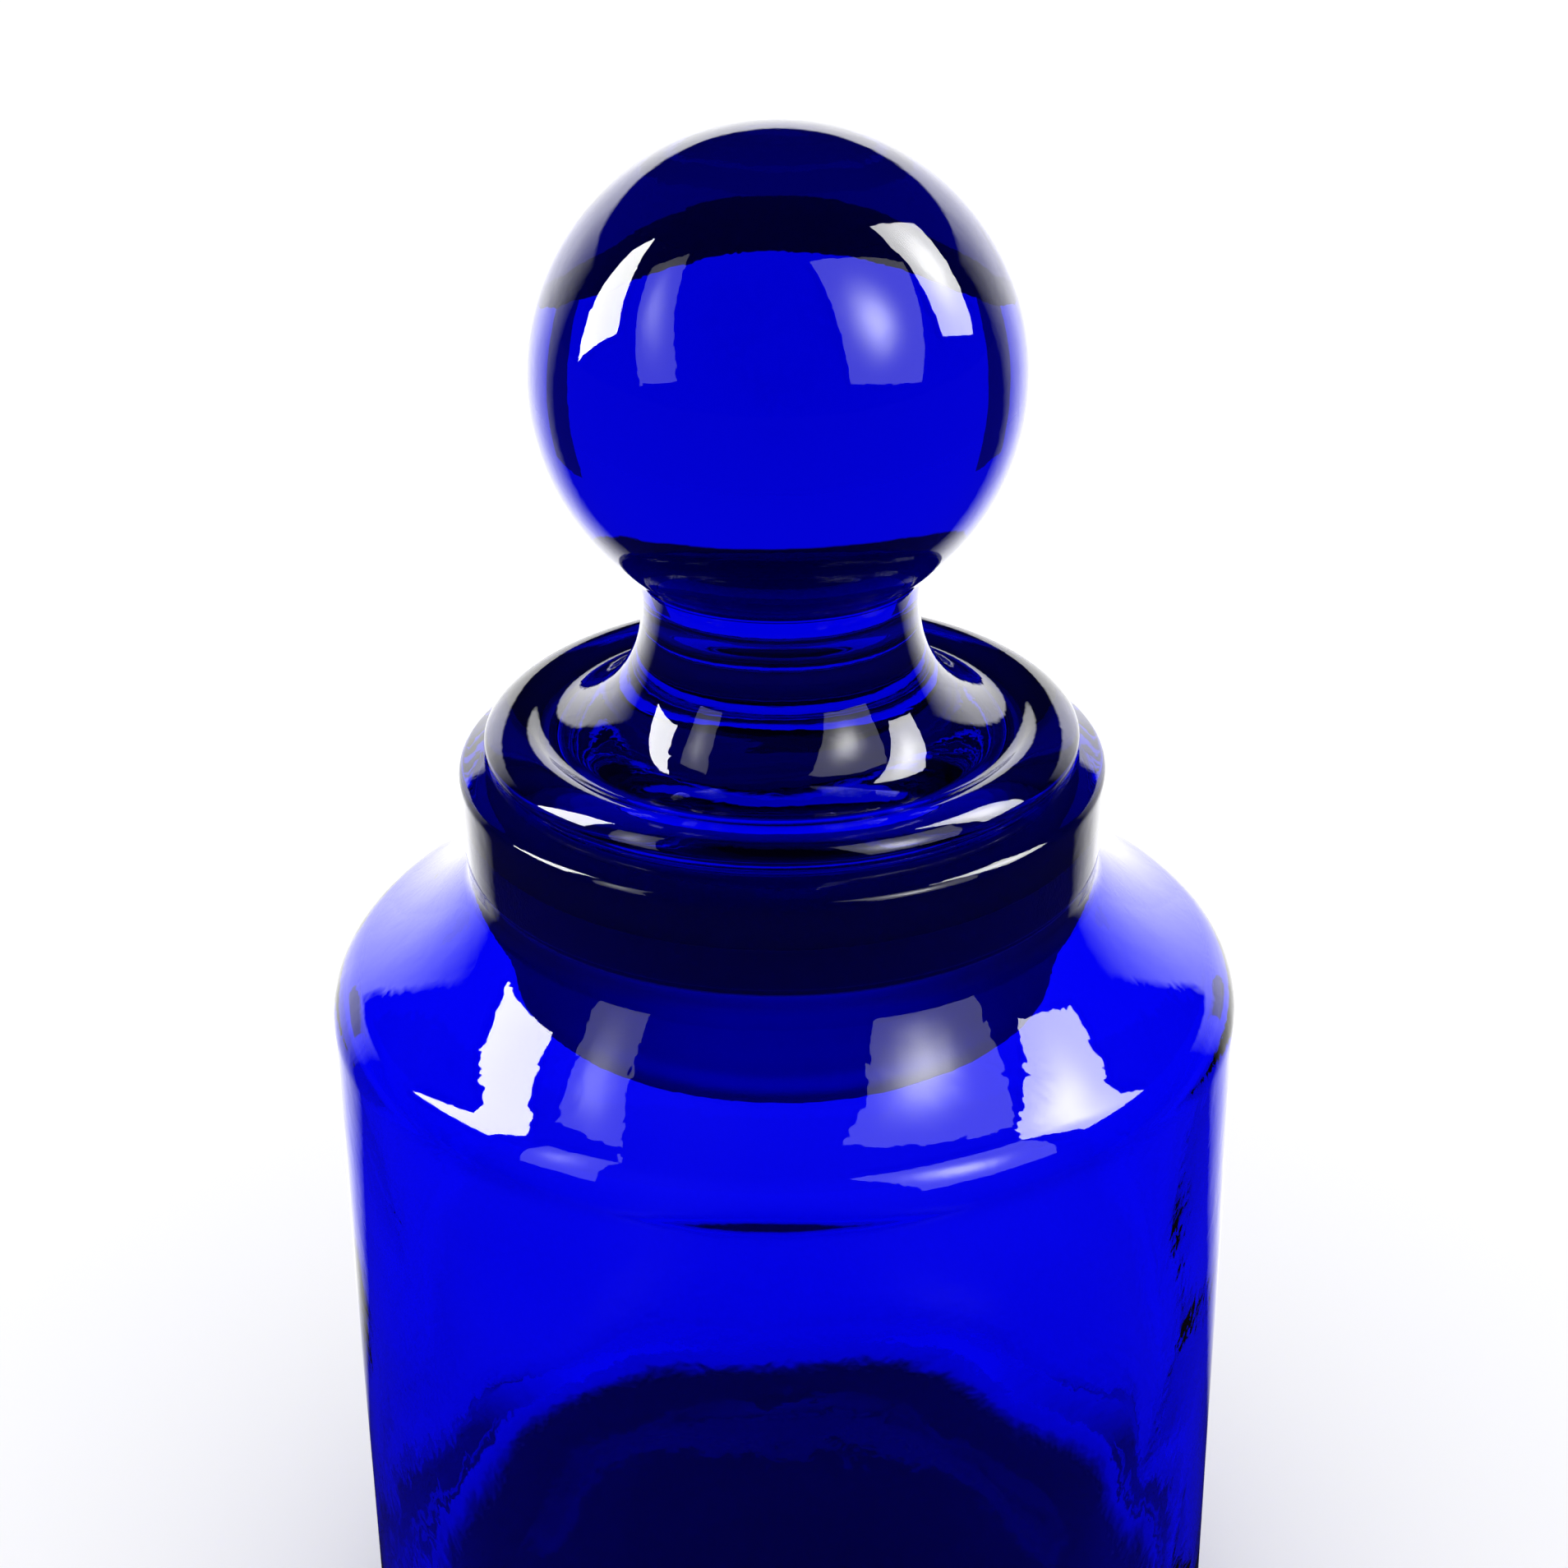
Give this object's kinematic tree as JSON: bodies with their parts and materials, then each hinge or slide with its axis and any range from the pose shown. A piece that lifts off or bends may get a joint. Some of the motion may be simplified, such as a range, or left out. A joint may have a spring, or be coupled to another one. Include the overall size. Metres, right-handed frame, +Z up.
{
  "type": "apothecary jar",
  "caption": "round cobalt glass apothecary jar with a collared mouth and a ball-topped ground glass stopper that lifts out",
  "frame": {"origin": "centre of the foot that the jar stands on, under the middle of the bounding box", "axes": "+Z is up along the axis of the jar and stopper; the piece is a body of revolution, so +X and +Y are equivalent"},
  "size_m": [0.11, 0.11, 0.2044],
  "materials": {
    "jar_glass": "fire-polished cobalt blue glass",
    "stopper_glass": "fire-polished cobalt blue glass with a ground plug"
  },
  "bodies": {
    "jar": {"jar_body": "jar_glass"},
    "stopper": {"ball_stopper": "stopper_glass"}
  },
  "joints": [
    {"name": "stopper_lift", "type": "slide", "parent": "jar", "child": "stopper", "axis": [0, 0, 1], "range_m": [0, 0.06]}
  ]
}
